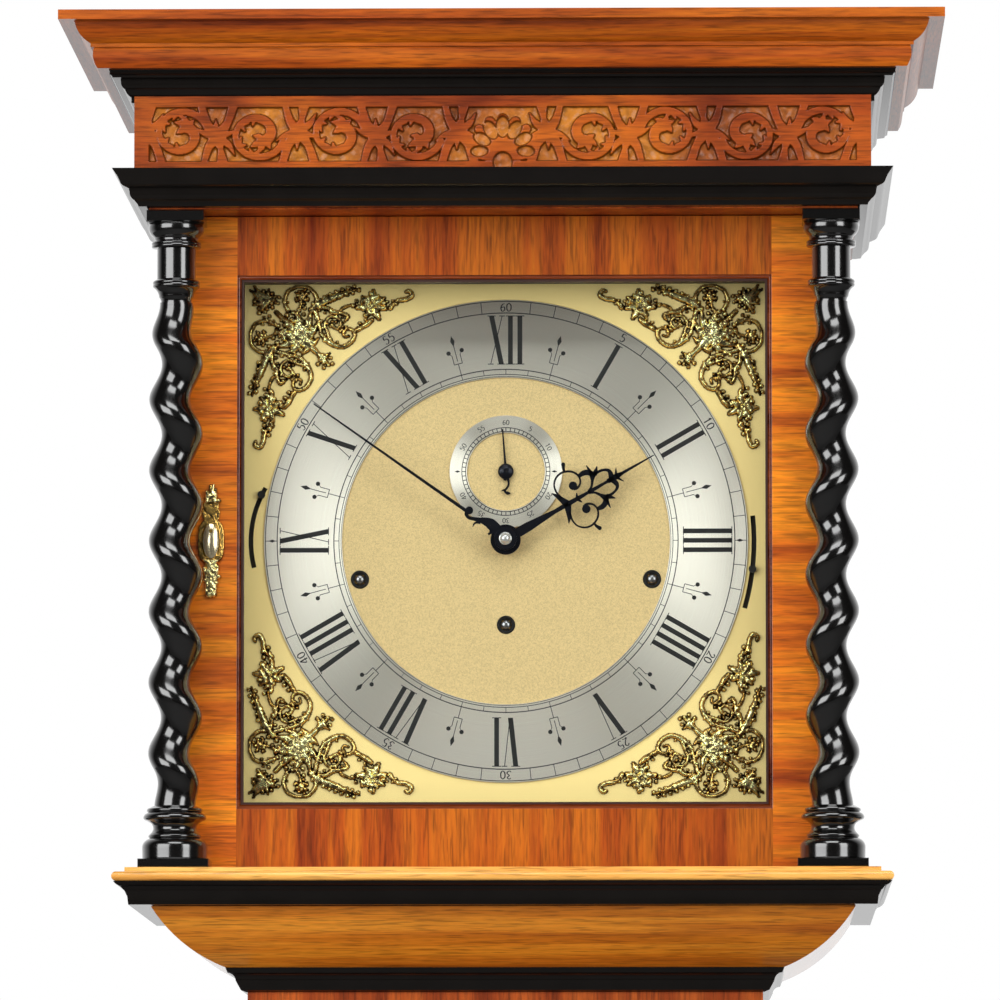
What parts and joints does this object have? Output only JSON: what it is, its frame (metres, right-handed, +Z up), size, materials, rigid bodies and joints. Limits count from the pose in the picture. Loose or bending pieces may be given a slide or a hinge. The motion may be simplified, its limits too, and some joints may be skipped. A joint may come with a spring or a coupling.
{
  "type": "floor clock",
  "caption": "Longcase clock with a sliding hood, twist columns, carved frieze, square glazed door, brass dial, weight-driven movement, pendulum and hinged trunk door.",
  "frame": {"origin": "on the floor, under the middle of the cornice's box", "axes": "+Z up, -Y to the front, +X to the clock's right as seen from the front"},
  "size_m": [0.4582, 0.29, 2.03],
  "materials": {
    "walnut": "polished cross-grain walnut veneer",
    "ebonised": "ebonised and polished",
    "deal": "plain planed softwood",
    "dial_brass": "brushed and lacquered",
    "gilt_brass": "cast and gilt",
    "movement_brass": "polished",
    "silvered": "silvered and circularly grained",
    "blued_steel": "blued black, satin",
    "steel": "polished",
    "glass": "clear",
    "mask_black": "painted black"
  },
  "bodies": {
    "case": {"backboard": "deal", "trunk_sides": "walnut", "trunk_front_frame": "walnut", "throat_moulding": "walnut", "throat_black_moulding": "ebonised", "seatboard": "deal", "base_panels": "walnut", "base_mouldings": "walnut", "bun_feet": "ebonised", "trunk_hinge_leaves": "movement_brass", "dial_plate": "dial_brass", "chapter_rings": "silvered", "spandrels": "gilt_brass", "movement_plates": "movement_brass", "movement_pillars": "movement_brass", "pendulum_cock": "movement_brass", "chime_rods": "steel", "strike_cable": "steel", "going_cable": "steel", "chime_cable": "steel"},
    "hood": {"hood_carcase": "walnut", "side_glasses": "glass", "cornice_moulding": "walnut", "carved_frieze": "walnut", "hood_black_mouldings": "ebonised", "hood_base_moulding": "walnut", "dial_mask": "mask_black"},
    "hood_door": {"hood_door_frame": "walnut", "door_bead": "walnut", "door_glass": "glass", "column_left": "ebonised", "column_right": "ebonised", "hood_door_brasses": "gilt_brass"},
    "keyhole_cover": {"keyhole_cover": "gilt_brass"},
    "trunk_door": {"trunk_door": "walnut", "trunk_door_brasses": "gilt_brass"},
    "minute_arbor": {"centre_arbor": "movement_brass", "minute_hand": "blued_steel", "hand_nut": "movement_brass"},
    "hour_wheel": {"hour_wheel": "movement_brass", "hour_hand": "blued_steel"},
    "escape_arbor": {"escape_wheel": "movement_brass", "seconds_hand": "blued_steel"},
    "third_wheel": {"third_wheel": "movement_brass"},
    "minute_wheel": {"minute_wheel": "movement_brass"},
    "great_wheel": {"great_wheel": "movement_brass"},
    "anchor": {"anchor": "steel"},
    "pendulum": {"pendulum_rod": "steel", "pendulum_bob": "movement_brass"},
    "strike_lever": {"strike_lever": "movement_brass"},
    "chime_lever": {"chime_lever": "movement_brass"},
    "strike_barrel": {"strike_barrel": "movement_brass"},
    "strike_weight": {"strike_weight": "movement_brass"},
    "strike_pulley": {"strike_pulley": "movement_brass"},
    "going_barrel": {"going_barrel": "movement_brass"},
    "going_weight": {"going_weight": "movement_brass"},
    "going_pulley": {"going_pulley": "movement_brass"},
    "chime_barrel": {"chime_barrel": "movement_brass"},
    "chime_weight": {"chime_weight": "movement_brass"},
    "chime_pulley": {"chime_pulley": "movement_brass"}
  },
  "joints": [
    {"name": "hood_slide", "type": "slide", "parent": "case", "child": "hood", "axis": [0, -1, 0], "range_m": [0, 0.22]},
    {"name": "hood_door_hinge", "type": "hinge", "parent": "hood", "child": "hood_door", "pos_m": [0.169, -0.0525, 1.761], "axis": [0, 0, 1], "range_deg": [0, 110]},
    {"name": "keyhole_cover_pivot", "type": "hinge", "parent": "hood_door", "child": "keyhole_cover", "pos_m": [-0.154, -0.0723, 1.7671], "axis": [0, 1, 0], "range_deg": [-100, 100]},
    {"name": "trunk_door_hinge", "type": "hinge", "parent": "case", "child": "trunk_door", "pos_m": [0.1153, -0.05435, 1.055], "axis": [0, 0, 1], "range_deg": [0, 110]},
    {"name": "minute_arbor_spin", "type": "hinge", "parent": "case", "child": "minute_arbor", "pos_m": [0, -0.03, 1.765], "axis": [0, 1, 0], "continuous": true},
    {"name": "hour_wheel_spin", "type": "hinge", "parent": "case", "child": "hour_wheel", "pos_m": [0, -0.03, 1.765], "axis": [0, 1, 0], "continuous": true},
    {"name": "escape_arbor_spin", "type": "hinge", "parent": "case", "child": "escape_arbor", "pos_m": [0, 0, 1.8017], "axis": [0, 1, 0], "continuous": true},
    {"name": "third_wheel_spin", "type": "hinge", "parent": "case", "child": "third_wheel", "pos_m": [0.0117, 0, 1.78573], "axis": [0, 1, 0], "continuous": true},
    {"name": "minute_wheel_spin", "type": "hinge", "parent": "case", "child": "minute_wheel", "pos_m": [-0.024, -0.01, 1.765], "axis": [0, 1, 0], "continuous": true},
    {"name": "great_wheel_spin", "type": "hinge", "parent": "case", "child": "great_wheel", "pos_m": [0, 0.02, 1.7205], "axis": [0, 1, 0], "continuous": true},
    {"name": "pendulum_swing", "type": "hinge", "parent": "case", "child": "pendulum", "pos_m": [0, 0.092, 1.8267], "axis": [0, 1, 0], "range_deg": [-2.5, 2.5]},
    {"name": "anchor_rock", "type": "hinge", "parent": "case", "child": "anchor", "pos_m": [0, 0.02, 1.8267], "axis": [0, 1, 0], "range_deg": [-2.5, 2.5]},
    {"name": "strike_lever_slide", "type": "hinge", "parent": "case", "child": "strike_lever", "pos_m": [-0.079, -0.028, 1.765], "axis": [0, 1, 0], "range_deg": [-38, 2]},
    {"name": "chime_lever_slide", "type": "hinge", "parent": "case", "child": "chime_lever", "pos_m": [0, -0.028, 1.765], "axis": [0, 1, 0], "range_deg": [-11, 8]},
    {"name": "strike_weight_drop", "type": "slide", "parent": "case", "child": "strike_weight", "axis": [0, 0, 1], "range_m": [0, 0.98], "deforming": ["strike_cable"]},
    {"name": "strike_barrel_turn", "type": "hinge", "parent": "case", "child": "strike_barrel", "pos_m": [-0.0772, 0.028, 1.7446], "axis": [0, 1, 0], "range_deg": [-1, 5561]},
    {"name": "strike_pulley_turn", "type": "hinge", "parent": "strike_weight", "child": "strike_pulley", "pos_m": [-0.0772, 0.028, 0.5935], "axis": [0, 1, 0], "range_deg": [-1, 2781]},
    {"name": "going_weight_drop", "type": "slide", "parent": "case", "child": "going_weight", "axis": [0, 0, 1], "range_m": [0, 0.98], "deforming": ["going_cable"]},
    {"name": "going_barrel_turn", "type": "hinge", "parent": "case", "child": "going_barrel", "pos_m": [0, 0.028, 1.7205], "axis": [0, 1, 0], "range_deg": [-1, 5561]},
    {"name": "going_pulley_turn", "type": "hinge", "parent": "going_weight", "child": "going_pulley", "pos_m": [0, 0.028, 0.5935], "axis": [0, 1, 0], "range_deg": [-1, 2781]},
    {"name": "chime_weight_drop", "type": "slide", "parent": "case", "child": "chime_weight", "axis": [0, 0, 1], "range_m": [0, 0.98], "deforming": ["chime_cable"]},
    {"name": "chime_barrel_turn", "type": "hinge", "parent": "case", "child": "chime_barrel", "pos_m": [0.0772, 0.028, 1.7446], "axis": [0, 1, 0], "range_deg": [-1, 5561]},
    {"name": "chime_pulley_turn", "type": "hinge", "parent": "chime_weight", "child": "chime_pulley", "pos_m": [0.0772, 0.028, 0.5935], "axis": [0, 1, 0], "range_deg": [-1, 2781]}
  ],
  "couplings": [
    {"joint": "hour_wheel_spin", "follows": "minute_arbor_spin", "ratio": 0.083333},
    {"joint": "minute_wheel_spin", "follows": "minute_arbor_spin", "ratio": -0.33333},
    {"joint": "third_wheel_spin", "follows": "minute_arbor_spin", "ratio": -7.5},
    {"joint": "escape_arbor_spin", "follows": "minute_arbor_spin", "ratio": 60},
    {"joint": "great_wheel_spin", "follows": "minute_arbor_spin", "ratio": -0.083333},
    {"joint": "anchor_rock", "follows": "pendulum_swing", "ratio": 1},
    {"joint": "strike_barrel_turn", "follows": "strike_weight_drop", "rad_per_m": 99.01},
    {"joint": "strike_pulley_turn", "follows": "strike_weight_drop", "rad_per_m": 49.505},
    {"joint": "going_barrel_turn", "follows": "going_weight_drop", "rad_per_m": 99.01},
    {"joint": "going_pulley_turn", "follows": "going_weight_drop", "rad_per_m": 49.505},
    {"joint": "chime_barrel_turn", "follows": "chime_weight_drop", "rad_per_m": 99.01},
    {"joint": "chime_pulley_turn", "follows": "chime_weight_drop", "rad_per_m": 49.505}
  ]
}
